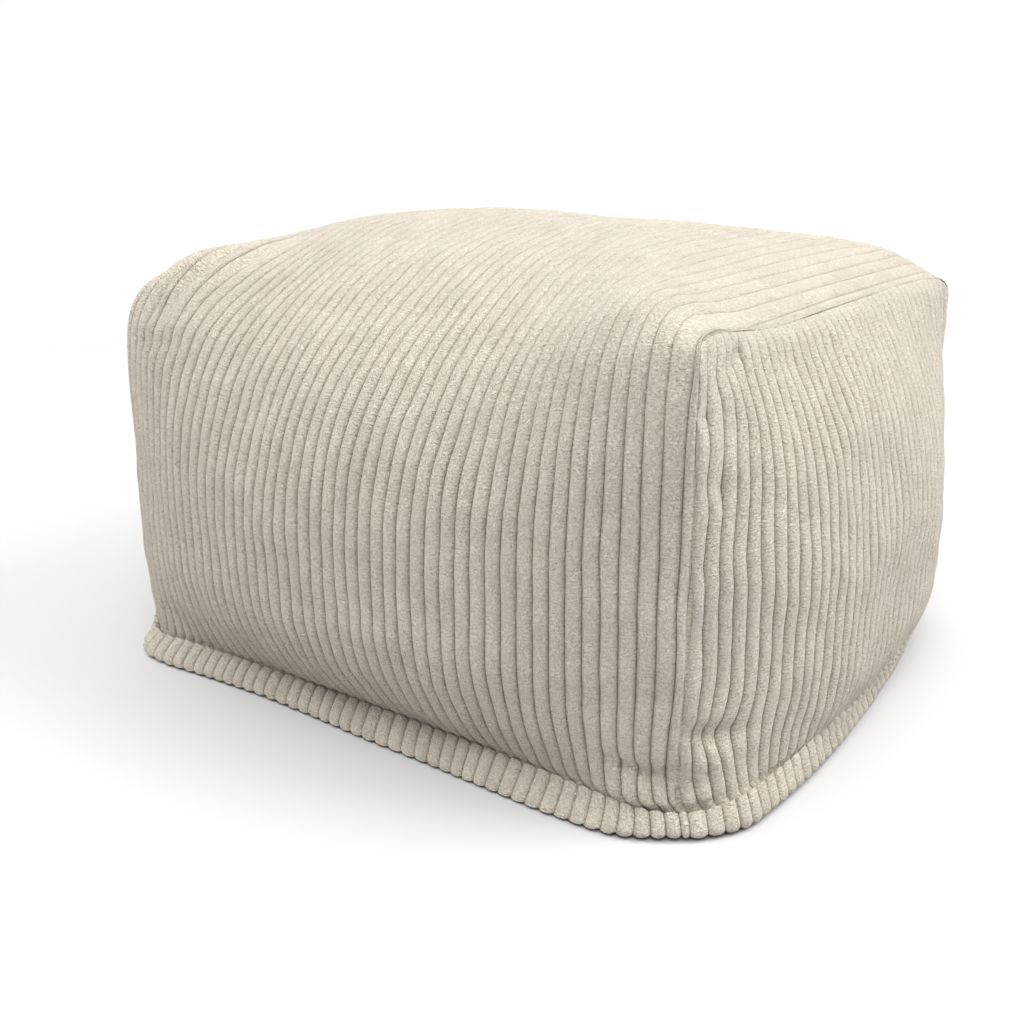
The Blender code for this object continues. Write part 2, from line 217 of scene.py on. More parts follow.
BASE_UNDER_TILE = ((0.005, 0.005), (0.995, 0.480))
BASE_EDGE_TILE = ((0.005, 0.484), (0.995, 0.488))

SHEET = RIB_HEIGHT + BACKING
HALF_LENGTH = RIB_PITCH * LONG_RIBS / 2 + CUT_RIB
HALF_DEPTH = RIB_PITCH * END_RIBS / 2
QUARTER = math.pi / 2
DIAGONAL = math.sin(math.pi / 4)
ARC_SAVING = 1 - math.pi / 4
WALL_HALF_X = HALF_LENGTH + WALL_CORNER * ARC_SAVING
WALL_HALF_Y = HALF_DEPTH + WALL_CORNER * ARC_SAVING
CORNER_X = WALL_HALF_X - WALL_CORNER * (1 - DIAGONAL)
CORNER_Y = WALL_HALF_Y - WALL_CORNER * (1 - DIAGONAL)

# Creases: points (across, run), height (a trough's is negative), half width
WRAP_CREASES = (
    # Folds along the ribs at the far left of the top
    (((0.0405, 0.240), (0.0410, 0.275), (0.0430, 0.310), (0.0460, 0.355)), -0.0062, 0.0052),
    (((0.0520, 0.270), (0.0530, 0.305), (0.0550, 0.345)), 0.0020, 0.0070),
    (((0.0255, 0.242), (0.0255, 0.275), (0.0275, 0.310), (0.0300, 0.355)), -0.0052, 0.0050),
    (((0.0330, 0.255), (0.0335, 0.290), (0.0360, 0.330)), 0.0022, 0.0040),
    (((0.0605, 0.295), (0.0610, 0.325), (0.0600, 0.380)), -0.0044, 0.0046),
    (((0.004, 0.285), (0.022, 0.305), (0.040, 0.325)), 0.0046, 0.0300),
    # A faint fold across the ribs at the left shoulder
    (((0.018, 0.222), (0.040, 0.226), (0.066, 0.232)), -0.0024, 0.0045),
    # Pinched rib ends that hang over the hem at the near corner
    (((0.414, 0.028), (0.434, 0.0235), (0.450, 0.0228), (0.468, 0.024)), -0.0056, 0.0048),
    (((0.408, 0.0090), (0.430, 0.0080), (0.450, 0.0075), (0.465, 0.0075)), 0.0034, 0.0065),
    (((0.405, 0.045), (0.430, 0.042), (0.455, 0.044)), 0.0016, 0.0100),
    (((0.395, 0.072), (0.420, 0.066), (0.445, 0.068)), -0.0016, 0.0080),
)
END_CREASES = (
    # Dents at the rib ends beside the near top corner
    (((0.000, 0.226), (0.012, 0.224)), -0.0034, 0.0055),
    (((0.010, 0.190), (0.024, 0.184)), -0.0030, 0.0065),
    (((0.036, 0.246), (0.052, 0.253)), -0.0044, 0.0055),
    (((0.018, 0.226), (0.036, 0.236)), 0.0020, 0.0070),
    (((0.006, 0.150), (0.018, 0.146)), -0.0016, 0.0070),
    (((0.006, 0.112), (0.018, 0.106)), -0.0014, 0.0080),
    # The kink above the hem at the near corner, and the rib ends that hang over it
    (((0.000, 0.051), (0.013, 0.0465), (0.030, 0.041), (0.051, 0.035)), -0.0044, 0.0060),
    (((0.000, 0.032), (0.020, 0.028), (0.036, 0.024)), 0.0026, 0.0070),
    (((-0.004, 0.0075), (0.008, 0.0075), (0.024, 0.0085)), 0.0036, 0.0065),
)
# Wandering ribs: place (across, run), sideways shift, spread across, spread along
WRAP_WANDER = (
    ((0.0750, 0.325), 0.0180, 0.055, 0.055),
    ((0.4565, 0.300), 0.0048, 0.009, 0.060),
    ((0.4565, 0.030), -0.0008, 0.010, 0.050),
    ((0.4300, 0.010), 0.0016, 0.014, 0.016),
)
END_WANDER = (
    ((0.020, 0.262), 0.0050, 0.022, 0.014),
    ((0.026, 0.222), 0.0040, 0.022, 0.016),
    ((0.040, 0.150), -0.0042, 0.034, 0.034),
    ((0.028, 0.040), -0.0060, 0.026, 0.020),
    ((0.010, 0.178), 0.0012, 0.010, 0.008),
    ((0.008, 0.196), -0.0012, 0.010, 0.008),
)


def mix(low, high, share):
    return low + (high - low) * share


def smooth(value, low, high):
    """0 up to low and 1 from high, easing in and out between them."""
    share = np.clip((value - low) / (high - low), 0, 1)
    return share * share * (3 - 2 * share)


def side(place, half_along, half_across, corner, bulge):
    """A bulged rectangle's side at a place from 0, its middle, to 1, half way round its corner."""
    straight = half_along - corner
    arc = np.abs(place) * (straight + corner * math.pi / 4)
    turn = np.clip((arc - straight) / corner, 0, None)
    along = np.where(arc < straight, arc, straight + corner * np.sin(turn))
    reach = straight + corner * DIAGONAL
    across = half_across + bulge * (1 - (along / reach) ** BULGE_POWER) - corner * (1 - np.cos(turn))
    return np.sign(place) * along, across


def tuck(z, top, power):
    """0 at the base seam and 1 above the drawn-in foot of a wall."""
    share = np.clip((z - BASE_SEAM_Z) / (top - BASE_SEAM_Z), 0, 1)
    return np.sin(QUARTER * share) ** power


def slid(place, z, slide, half_length):
    """A rib's place once its drift near the floor is added."""
    middle = 1 - np.abs(place) ** RIB_SLIDE_POWER
    low = np.exp(-(((z - BASE_SEAM_Z) / RIB_SLIDE_REACH) ** 2))
    return place + slide / half_length * middle * low


def level(z, base_corner):
    """Half sizes, corner radius, front bulge and end bulge of the walls at height z."""
    front = tuck(z, FRONT_TUCK_TOP_Z, FRONT_TUCK_POWER)
    end = tuck(z, END_TUCK_TOP_Z, END_TUCK_POWER)
    return (
        mix(BASE_HALF_X, WALL_HALF_X, end),
        mix(BASE_HALF_Y, WALL_HALF_Y, front),
        mix(base_corner, WALL_CORNER, front),
        mix(FRONT_BASE_BULGE, FRONT_BULGE, front),
        mix(END_BASE_BULGE, END_BULGE, end),
    )


# What differs between the right end and the left one. The seam's powers say how square its top corners are.
Hand = namedtuple("Hand", "sign base_corner corner_top_z seam_power_y seam_power_z turns")


def new_hand(sign, base_corner, corner_top_z, power_y, power_z):
    """A hand, with the angles up its rounded top that part its top seam into even lengths."""
    fine = np.linspace(0, QUARTER, HAND_STEPS)
    y = CORNER_Y * np.clip(np.cos(fine), 0, 1) ** (2 / power_y)
    z = (END_TOP_Z - corner_top_z) * np.sin(fine) ** (2 / power_z)
    length = np.concatenate([[0], np.cumsum(np.hypot(np.diff(y), np.diff(z)))])
    turns = np.interp(np.linspace(0, length[-1], SHOULDER_ROWS + 1), length, fine)
    return Hand(sign, base_corner, corner_top_z, power_y, power_z, turns)


RIGHT = new_hand(sign=1, base_corner=0.052, corner_top_z=0.256, power_y=22.0, power_z=3.0)
LEFT = new_hand(sign=-1, base_corner=0.048, corner_top_z=0.214, power_y=12.0, power_z=3.0)
SHOULDER_S = 1 + np.arange(SHOULDER_ROWS + 1) / SHOULDER_ROWS


def seam_turn(y, hand):
    """The angle up an end's rounded top at which its seam passes a given y."""
    share = np.clip(np.abs(y) / CORNER_Y, 0, 1)
    return np.arccos(share ** (hand.seam_power_y / 2))


def wrap_surface(u, s):
    """The wrap cover's crest surface without creases."""
    back = s > 2
    s = np.where(back, 4 - s, s)
    edge = np.abs(u) ** EDGE_POWER
    to_right = u > 0
    corner_top_z = np.where(to_right, RIGHT.corner_top_z, LEFT.corner_top_z)
    seam_y = np.where(to_right, RIGHT.seam_power_y, LEFT.seam_power_y)
    seam_z = np.where(to_right, RIGHT.seam_power_z, LEFT.seam_power_z)
    seam = np.where(to_right, np.interp(s, SHOULDER_S, RIGHT.turns), np.interp(s, SHOULDER_S, LEFT.turns))
    turn = mix(QUARTER * np.clip(s - 1, 0, 1), seam, edge)
    shoulder_z = mix(SHOULDER_Z, corner_top_z, edge)
    low_z = mix(BASE_SEAM_Z, shoulder_z, np.clip(s, 0, 1))
    base_corner = np.where(to_right, RIGHT.base_corner, LEFT.base_corner)
    half_x, half_y, corner, bulge, _ = level(low_z, base_corner)
    slide = np.where(back, 0.0, RIB_SLIDE_FRONT * np.clip(2 - s, 0, 1))
    x, y = side(slid(u, low_z, slide, HALF_LENGTH), half_x, half_y, corner, bulge)
    top_z = mix(CROWN_Z, END_TOP_Z, np.abs(u) ** CROWN_POWER)
    power_y = mix(SHOULDER_POWERS[0], seam_y, edge)
    power_z = mix(SHOULDER_POWERS[1], seam_z, edge)
    z = np.where(s <= 1, low_z, mix(shoulder_z, top_z, np.sin(turn) ** (2 / power_z)))
    y = y * np.clip(np.cos(turn), 0, 1) ** (2 / power_y)
    x = x * (1 - TOP_INSET / WALL_HALF_X * np.sin(turn) ** 2)
    return np.stack([x, np.where(back, y, -y), z], -1)


def end_depth(y, z, wall_x, hand):
    """How far out an end cover lies, from its seam's height above y and the bulged wall below it."""
    turn = seam_turn(y, hand)
    top_z = mix(hand.corner_top_z, END_TOP_Z, np.sin(turn) ** (2 / hand.seam_power_z))
    top_x = CORNER_X * (1 - TOP_INSET / WALL_HALF_X * np.sin(turn) ** 2)
    roll = np.clip((z - SHOULDER_Z) / (top_z - SHOULDER_Z), 0, 1)
    return top_z, mix(wall_x, top_x, roll**END_ROLL_POWER)


def end_surface(w, s, slide, hand):
    """An end cover's crest surface without creases, as it would lie on the right."""
    low_z = mix(BASE_SEAM_Z, hand.corner_top_z, np.clip(s, 0, 1))
    half_x, half_y, corner, _, bulge = level(low_z, hand.base_corner)
    faded = slide * np.clip(2 - s, 0, 1)
    y, wall_x = side(slid(w, low_z, faded, HALF_DEPTH), half_y, half_x, corner, bulge)
    top_y, _ = side(w, WALL_HALF_Y, WALL_HALF_X, WALL_CORNER, END_BULGE)
    top_z, _ = end_depth(top_y, low_z, wall_x, hand)
    z = np.where(s <= 1, low_z, mix(hand.corner_top_z, top_z, np.clip(s - 1, 0, 1)))
    _, x = end_depth(top_y, z, wall_x, hand)
    return np.stack([x, y, z], -1)


def behind_end(y, z, hand):
    """How far out an end's surface lies at a point of its plan."""
    half_x, half_y, corner, _, bulge = level(z, hand.base_corner)
    share = np.clip(np.abs(y) / (half_y - corner * (1 - DIAGONAL)), 0, 1)
    _, wall_x = side(share, half_y, half_x, corner, bulge)
    _, x = end_depth(y, z, wall_x, hand)
    return x


def pulled(points):
    """Points once the bag's base and top are drawn in at the left and the back right, and its right top
    corners have settled."""
    x, y, z = points[..., 0], points[..., 1], points[..., 2]
    low = 1 - tuck(z, PULL_TOP_Z, PULL_POWER)
    high = smooth(z, *TOP_PULL_Z)
    right = np.clip(x / BASE_HALF_X, 0, 1)
    left = np.clip(-x / BASE_HALF_X, 0, 1) ** 2
    rear = np.clip((y + BASE_HALF_Y) / (2 * BASE_HALF_Y), 0, 1)
    up = np.clip(z / END_TOP_Z, 0, 1)
    base_right = right ** PULL_POWERS_RIGHT[0] * rear ** PULL_POWERS_RIGHT[1]
    sunk = right ** SINK_POWERS[0] * rear ** SINK_POWERS[1] * up ** SINK_POWERS[2]
    near = smooth(x, *NEAR_X) * smooth(z, *NEAR_Z)
    middle, spread = NEAR_DIP_Y
    moved = points.copy()
    moved[..., 0] += low * (BASE_PULL_LEFT * left - BASE_PULL_RIGHT * base_right)
    moved[..., 0] += high * (TOP_PULL_LEFT * left - TOP_PULL_RIGHT * right**2 * rear)
    moved[..., 2] -= CORNER_SINK * sunk
    moved[..., 2] += NEAR_LIFT * near * smooth(-y, *NEAR_LIFT_Y)
    moved[..., 2] -= NEAR_DIP * near * np.exp(-(((y - middle) / spread) ** 2))
    return moved


def rib_columns(half, cut, ribs):
    """Places across a panel from -half to half, in metres, each with its share of a rib's height."""
    edges = [-half + cut + rib * RIB_PITCH for rib in range(ribs + 1)]
    if cut:
        edges = [-half] + edges + [half]
    places, rises = [], []
    for left, right in zip(edges, edges[1:]):
        for share in RIB_PLACES:
            places.append(mix(left, right, share))
            rises.append((1 - abs(2 * share - 1) ** RIB_SQUARENESS) ** RIB_ROUNDNESS)
    places.append(half)
    rises.append(0.0)
    places, rises = np.array(places), np.array(rises)
    return places, np.maximum(rises, SEAM_RISE * (1 - (half - np.abs(places)) / SEAM_RISE_REACH))


def swells(across, run, size, seed):
    """Smooth unevenness between about -1 and 1, in swells of about the given size."""
    draw = np.random.default_rng(seed)
    total = np.zeros(np.broadcast(across, run).shape)
    for _ in range(SWELL_WAVES):
        angle, phase = draw.uniform(0, 2 * math.pi, 2)
        pace = 2 * math.pi / (size * draw.uniform(*SWELL_SIZES))
        total += np.sin(pace * (across * math.cos(angle) + run * math.sin(angle)) + phase)
    return total / math.sqrt(SWELL_WAVES / 2) / SWELL_PEAK


def unevenness(across, run, rows, seed):
    """The sum of several swells, each given as height, size and number of its draw."""
    total = 0.0
    for height, size, number in rows:
        total = total + height * swells(across, run, size, seed + number)
    return total


def crease_field(across, run, creases):
    """How far the cloth stands out or in at each place, for the creases given."""
    total = np.zeros(across.shape)
    for points, height, spread in creases:
        nearest = np.full(across.shape, np.inf)
        fade = np.zeros(across.shape)
        pieces = len(points) - 1
        for i, ((a0, r0), (a1, r1)) in enumerate(zip(points, points[1:])):
            length2 = (a1 - a0) ** 2 + (r1 - r0) ** 2
            share = np.clip(((across - a0) * (a1 - a0) + (run - r0) * (r1 - r0)) / length2, 0, 1)
            away = np.hypot(across - mix(a0, a1, share), run - mix(r0, r1, share))
            closer = away < nearest
            nearest = np.where(closer, away, nearest)
            fade = np.where(closer, (i + share) / pieces, fade)
        total += height * mix(CREASE_END, 1, np.sin(math.pi * fade)) * np.exp(-((nearest / spread) ** 2))
    return total


def wander_field(across, run, wanders):
    """How far ribs stray sideways at each place."""
    total = np.zeros(np.broadcast(across, run).shape)
    for (a, r), shift, wide, tall in wanders:
        total += shift * np.exp(-(((across - a) / wide) ** 2) - ((run - r) / tall) ** 2)
    return total


def run_along(points, start):
    """Metres up the cloth from row start, along each column."""
    steps = np.linalg.norm(np.diff(points, axis=1), axis=-1)
    run = np.concatenate([np.zeros((len(points), 1)), np.cumsum(steps, axis=1)], 1)
    return run - run[:, start : start + 1]


def grid_normals(points, fallback=None):
    """Unit normals over a grid of points, with the fallback's where the grid is pinched to nothing."""
    across = np.gradient(points, axis=0)
    along = np.gradient(points, axis=1)
    normal = np.cross(across, along)
    size = np.linalg.norm(normal, axis=-1, keepdims=True)
    unit = normal / np.maximum(size, TINY)
    if fallback is not None:
        unit = np.where(size > NO_SLOPE, unit, fallback)
    return unit


def hem_grid(places, half_along, half_across, base_corner, bulge, slide, flare, slant, seed):
    """A hem's crest rows from its inner foot to the base seam, as (along, across, height)."""
    length = half_along - base_corner * ARC_SAVING
    near_end = np.clip((1 - np.abs(places)) * length / HEM_END_REACH, 0, 1)
    varied, size = HEM_DRIFT_SWELL
    drift = HEM_DRIFT * (1 + varied * swells(places * length, 0.0, size, seed)) * near_end / length
    rows = []
    for out, z, _ in HEM_ROWS:
        low = np.clip(1 - z / BASE_SEAM_Z, 0, 1)
        spot = slid(places, BASE_SEAM_Z, slide, length) + drift * mix(HEM_DRIFT_TOP, 1, low)
        spot = spot + slant / length * low * near_end * (1 - smooth(places, *SLANT_FADE))
        along, across = side(
            np.clip(spot, -1, 1), half_along + out, half_across + out, base_corner + out, bulge
        )
        if out > 0:
            across = across + flare * low
        rows.append(np.stack([along, across, np.full_like(along, z)], -1))
    return np.stack(rows, 1)


HEM_SHARES = np.array([share for _, _, share in HEM_ROWS])


class Shell:
    """Points and faces of one closed piece. Each face corner has a place on the map that a bake uses."""

    def __init__(self):
        self.points = []
        self.cloth = []
        self.crest = []
        self.faces = []
        self.map = []

    def add(self, points, across=0.0, run=0.0, crest=0.0):
        """Adds points with their place on the cloth and share of a crest, and gives their numbers."""
        first = len(self.points)
        points = np.asarray(points, float)
        shape = points.shape[:-1]
        self.points.extend(points.reshape(-1, 3))
        self.crest.extend(np.broadcast_to(crest, shape).ravel())
        cloth = np.stack([np.broadcast_to(across, shape), np.broadcast_to(run, shape)], -1)
        self.cloth.extend(cloth.reshape(-1, 2))
        return np.arange(first, len(self.points)).reshape(shape)

    def quads(self, index, tile):
        """Faces over a grid of points. tile is the piece of the map they take: low and high corners."""
        columns, rows = index.shape
        low, high = np.array(tile, float)
        lines_u = np.linspace(low[0], high[0], columns)
        lines_v = np.linspace(low[1], high[1], rows)
        place = np.stack(np.meshgrid(lines_u, lines_v, indexing="ij"), -1)
        corners = (slice(None, -1), slice(1, None))
        order = ((0, 0), (1, 0), (1, 1), (0, 1))
        faces = np.stack([index[corners[a], corners[b]] for a, b in order], -1).reshape(-1, 4)
        spots = np.stack([place[corners[a], corners[b]] for a, b in order], -2).reshape(-1, 4, 2)
        self.faces.extend(faces.tolist())
        self.map.extend(spots.reshape(-1, 2))

    def face(self, indexes, tile):
        """One face with any number of corners, laid round the middle of its tile."""
        low, high = np.array(tile, float)
        self.faces.append([int(i) for i in indexes])
        middle, size = (low + high) / 2, (high - low) / 2
        for i in range(len(indexes)):
            angle = 2 * math.pi * i / len(indexes)
            self.map.append(middle + size * (math.cos(angle), math.sin(angle)))

    def build(self, name, materials, merge=0.0):
        mesh = bpy.data.meshes.new(name)
        mesh.from_pydata([tuple(p) for p in self.points], [], self.faces)
        layer = mesh.uv_layers.new(name="OFBake")
        layer.uv.foreach_set("vector", np.array(self.map, np.float32).ravel())
        cloth = mesh.attributes.new("cloth", "FLOAT_VECTOR", "POINT")
        places = np.concatenate([np.array(self.cloth), np.zeros((len(self.cloth), 1))], 1)
        cloth.data.foreach_set("vector", places.astype(np.float32).ravel())
        # The crest share drives the painted shade in the cord's grooves
        crest = mesh.attributes.new("crest", "FLOAT", "POINT")
        crest.data.foreach_set("value", np.array(self.crest, np.float32))
        bm = bmesh.new()
        bm.from_mesh(mesh)
        if merge:
            bmesh.ops.remove_doubles(bm, verts=bm.verts[:], dist=merge)
        bmesh.ops.recalc_face_normals(bm, faces=bm.faces[:])
        bm.to_mesh(mesh)
        bm.free()
        for material in materials:
            mesh.materials.append(material)
        mesh.shade_smooth()
        mesh.set_sharp_from_angle(angle=SHARP_ANGLE)
        made = bpy.data.objects.new(name, mesh)
        bpy.context.scene.collection.objects.link(made)
        return made


def wall_steps(rows, power):
    """Steps from 0 to 1 up a wall, closer together near the floor."""
    return (np.arange(rows + 1) / rows) ** power


WALL_STEPS = wall_steps(WALL_ROWS, WALL_ROW_POWER)


def eased(distance, reach):
    """0 at a seam and 1 further off than reach, with a round start."""
    share = np.clip(np.abs(distance) / reach, 0, 1)
    return np.sqrt(1 - (1 - share) ** 2)


def wrap_cover(material):
    """The filled body: front, top and back in one length of cord, hemmed at the front and the back."""
    across, rises = rib_columns(HALF_LENGTH, CUT_RIB, LONG_RIBS)
    base_corner = np.where(across < 0, LEFT.base_corner, RIGHT.base_corner)
    quarter = np.concatenate([WALL_STEPS[:-1], SHOULDER_S])
    steps = np.concatenate([quarter, 4 - quarter[-2::-1]])
    places, s = np.meshgrid(across, steps, indexing="ij")
    plain = wrap_surface(places / HALF_LENGTH, s)
    run = run_along(plain, 0)
    whole = run[:, -1:]
    from_left = places + HALF_LENGTH
    stray = wander_field(from_left, run, WRAP_WANDER)
    stray += unevenness(from_left, run, WRAP_STRAY, WRAP_SEED)
    edge = np.clip((HALF_LENGTH - np.abs(places)) / CUT_RIB, 0, 1)
    moved = np.clip(places + stray * edge, -HALF_LENGTH, HALF_LENGTH)
    body = wrap_surface(moved / HALF_LENGTH, s)

    u = across / HALF_LENGTH
    flare = np.interp(u, *np.array(HEM_FLARE).T)
    plan = (BASE_HALF_X, BASE_HALF_Y, base_corner, FRONT_BASE_BULGE)
    front = hem_grid(u, *plan, RIB_SLIDE_FRONT, flare, HEM_SLANT, FRONT_HEM_SEED)
    front[..., 1] *= -1
    back = hem_grid(u, *plan, 0.0, flare, 0.0, BACK_HEM_SEED)
    base = np.concatenate([front, body, back[:, ::-1]], 1)
    run = run_along(base, HEM)
    near = np.minimum(run, whole - run)  # run from the nearer base seam
    from_seam = (HALF_LENGTH - np.abs(across))[:, None]
    columns = from_left[:, :1]
    out = crease_field(*np.broadcast_arrays(columns, run), WRAP_CREASES)
    on_wall = np.clip(near / WALL_FADE, 0, 1)
    out += on_wall * unevenness(columns, run, WRAP_SWELLS, WRAP_SEED)
    out *= eased(from_seam, SEAM_TAPER)
    hem_rows = np.r_[0:HEM, base.shape[1] - HEM : base.shape[1]]
    out[:, hem_rows] = 0
    out *= eased(near, SEAM_TAPER)
    normal = grid_normals(base)
    base = base + normal * out[..., None]
    shares = mix(FOOT_RISE, 1.0, eased(near, SEAM_EASE))
    shares[:, hem_rows[:HEM]] = HEM_SHARES
    shares[:, hem_rows[HEM:]] = HEM_SHARES[::-1]
    uneven = 1 + unevenness(columns, run, [RIB_SWELL], WRAP_SEED)
    normal = grid_normals(base)
    relief = mix(WALL_RELIEF, TOP_RELIEF, smooth(base[..., 2], *RELIEF_Z))
    relief *= mix(1.0, TAUT_RELIEF, smooth(columns, *TAUT_PLACES) * smooth(base[..., 2], *TAUT_Z))
    relief[:, hem_rows] = 1.0
    height = (rises[:, None] * shares * uneven - 1) * relief
    points = base + normal * (height * RIB_HEIGHT)[..., None]
    points[:, hem_rows, 2] = np.maximum(points[:, hem_rows, 2], FLOOR_CLEARANCE)

    shell = Shell()
    placed = pulled(points)
    # The crest share, scaled by the relief, sets the grooves' painted shade: deeper on the walls than on the
    # top
    index = shell.add(placed, columns, run, 1 - (1 - rises[:, None] * shares) * relief)
    shell.quads(index, WRAP_TILE)
    shell.quads(np.stack([index[:, -1], index[:, 0]], 1), UNDER_TILE)
    close_end(shell, index[-1], placed[-1], RIGHT)
    close_end(shell, index[0], placed[0], LEFT)
    return shell.build("wrap_cover", [material]), points[-1], points[0]


def close_end(shell, column, line, hand):
    """Closes one end of the filled body behind its end cover."""
    sign = hand.sign
    foot = []
    for place in CAP_FOOT_PLACES:
        y, x = side(
            np.array(place),
            BASE_HALF_Y - CAP_FOOT_INSET,
            BASE_HALF_X - CAP_FOOT_INSET,
            hand.base_corner - CAP_FOOT_INSET,
            END_BASE_BULGE,
        )
        foot.append((sign * float(x), float(y), HEM_ROWS[0][1]))
    foot = pulled(np.array(foot))
    foot_index = shell.add(foot)
    wall = slice(HEM, len(line) - HEM)
    seam = line[wall]
    run = np.gradient(seam[:, 1:], axis=0)
    run /= np.linalg.norm(run, axis=1, keepdims=True)
    inner = seam.copy()
    inner[:, 0] -= sign * SHEET
    inner[:, 1:] += SHEET * np.stack([run[:, 1], -run[:, 0]], 1)
    rim = np.concatenate([column[:1], column[wall], column[-1:], foot_index])
    low = line[:1] + (-sign * SHEET, SHEET, CAP_FOOT_RISE / 2)
    high = line[-1:] + (-sign * SHEET, -SHEET, CAP_FOOT_RISE / 2)
    ring = np.concatenate([low, inner, high, foot + (0, 0, CAP_FOOT_RISE)])
    rows = [rim, shell.add(ring)]
    for share in CAP_RINGS:
        y = ring[:, 1] * share
        z = mix(CAP_CENTRE_Z, ring[:, 2], share)
        x = behind_end(y, z, hand) - SHEET - CAP_CLEARANCE
        rows.append(shell.add(pulled(np.stack([sign * x, y, z], 1))))
    loops = np.stack(rows, 1)
    shell.quads(np.concatenate([loops, loops[:1]]), CAP_TILES[sign])
    centre = behind_end(np.array(0.0), np.array(CAP_CENTRE_Z), hand) - SHEET - CAP_CLEARANCE
    middle = shell.add([(sign * float(centre), 0.0, CAP_CENTRE_Z)])
    last = rows[-1]
    tile = CAP_TRIM_TILES[sign]
    for i, point in enumerate(last):
        shell.face((point, last[(i + 1) % len(last)], middle[0]), tile)
    shell.face(column[: HEM + 1], tile)
    shell.face(column[-HEM - 1 :], tile)
    shell.face([column[0], column[-1], *foot_index], tile)


def end_cover(name, hand, line, creases, wanders, slide, seed, material):
    """An end's ribbed sheet with its hem, sewn to the wrap cover's edge line along three sides."""
    across, rises = rib_columns(HALF_DEPTH, 0, END_RIBS)
    wall = wall_steps(END_WALL_ROWS, WALL_ROW_POWER)
    steps = np.concatenate([wall, 1 + np.arange(1, END_TOP_ROWS + 1) / END_TOP_ROWS])
    places, s = np.meshgrid(across, steps, indexing="ij")
    run = run_along(end_surface(places / HALF_DEPTH, s, slide, hand), 0)
    from_front = places + HALF_DEPTH
    stray = wander_field(from_front, run, wanders)
    stray += unevenness(from_front, run, END_STRAY, seed)
    stray *= np.clip((HALF_DEPTH - np.abs(places)) / RIB_PITCH, 0, 1)
    w = np.clip(places + stray, -HALF_DEPTH, HALF_DEPTH) / HALF_DEPTH
    body = end_surface(w, s, slide, hand)
    plan = (BASE_HALF_Y, BASE_HALF_X, hand.base_corner, END_BASE_BULGE)
    hem = hem_grid(across / HALF_DEPTH, *plan, slide, 0.0, 0.0, seed + END_HEM_DRAW)[..., (1, 0, 2)]
    base = np.concatenate([hem, body], 1)
    above = np.clip(base[..., 2] - BASE_SEAM_Z, 0, None)
    lift = np.clip(base[..., 2] / BASE_SEAM_Z, 0, 1) * np.exp(-((above / END_LIFT_REACH) ** 2))
    base[..., 2] += END_SEAM_LIFT * lift * (1 - (across[:, None] / HALF_DEPTH) ** END_LIFT_POWER)
    run = run_along(base, HEM)
    columns = from_front[:, :1]
    w_low, w_high = np.clip(w - SLOPE_STEP, -1, 1), np.clip(w + SLOPE_STEP, -1, 1)
    s_low, s_high = np.clip(s - SLOPE_STEP, 0, 2), np.clip(s + SLOPE_STEP, 0, 2)
    along_w = end_surface(w_high, s, slide, hand) - end_surface(w_low, s, slide, hand)
    along_s = end_surface(w, s_high, slide, hand) - end_surface(w, s_low, slide, hand)
    slope = np.cross(along_w, along_s)
    slope /= np.maximum(np.linalg.norm(slope, axis=-1, keepdims=True), TINY)
    sure = np.concatenate([np.zeros_like(hem) + (1.0, 0.0, 0.0), slope], 1)
    to_top = run[:, -1:] - run
    from_corner = (HALF_DEPTH - np.abs(across))[:, None]
    out = crease_field(*np.broadcast_arrays(columns, run), creases)
    on_wall = np.clip(run / WALL_FADE, 0, 1) * np.clip(to_top / WALL_FADE, 0, 1)
    out += on_wall * unevenness(columns, run, END_SWELLS, seed)
    roll_height, place, spread = END_ROLL
    roll = roll_height * np.exp(-(((to_top - place) / spread) ** 2))
    out += roll * np.clip(from_corner / WALL_FADE, 0, 1)
    out[:, :HEM] = 0
    out *= eased(run, SEAM_TAPER) * eased(to_top, SEAM_TAPER) * eased(from_corner, SEAM_TAPER)
    base = base + grid_normals(base, sure) * out[..., None]
    shares = mix(FOOT_RISE, 1.0, eased(run, SEAM_EASE) * eased(to_top, SEAM_EASE))
    shares[:, :HEM] = HEM_SHARES
    rolled = np.clip(to_top / TOP_ROLL, TOP_ROLL_LEAST, 1)
    rolled[:, :HEM] = 1
    filled = mix(1.0, rises[:, None], rolled)
    normal = grid_normals(base, sure)
    uneven = 1 + unevenness(columns, run, [RIB_SWELL], seed)
    relief = mix(WALL_RELIEF, TOP_RELIEF, smooth(base[..., 2], *RELIEF_Z))
    relief[:, :HEM] = 1.0
    height = (filled * shares * uneven - 1) * relief
    outer = base + normal * (height * RIB_HEIGHT)[..., None]
    outer[:, :HEM, 2] = np.maximum(outer[:, :HEM, 2], FLOOR_CLEARANCE)
    lining = (base - normal * SHEET)[:, HEM:]
    lining[..., 0] = np.minimum(lining[..., 0], outer[:, HEM:, 0] - BACKING / 2)

    last = len(line) - 1
    for column, place in enumerate(across):
        turn = seam_turn(CORNER_Y * place / HALF_DEPTH, hand)
        row = HEM + WALL_ROWS + np.interp(turn, hand.turns, np.arange(SHOULDER_ROWS + 1))
        row = row if place < 0 else last - row
        outer[column, -1] = on_line(line, row, hand)
    wall_rows = HEM + np.interp(np.minimum(steps, 1), WALL_STEPS, np.arange(WALL_ROWS + 1))
    rows = np.concatenate([np.arange(HEM), wall_rows])
    outer[0] = on_line(line, rows, hand)
    outer[-1] = on_line(line, last - rows, hand)
    lining[:, -1] = outer[:, -1] + (-BACKING, 0, -BACKING)
    for column, inward in ((0, 1), (-1, -1)):
        lining[column] = outer[column, HEM:] + (-BACKING, inward * BACKING / 2, 0)
    for points in (outer, lining):
        points[..., 0] += SEAM_GAP
        points[..., 0] *= hand.sign
        points[:] = pulled(points)

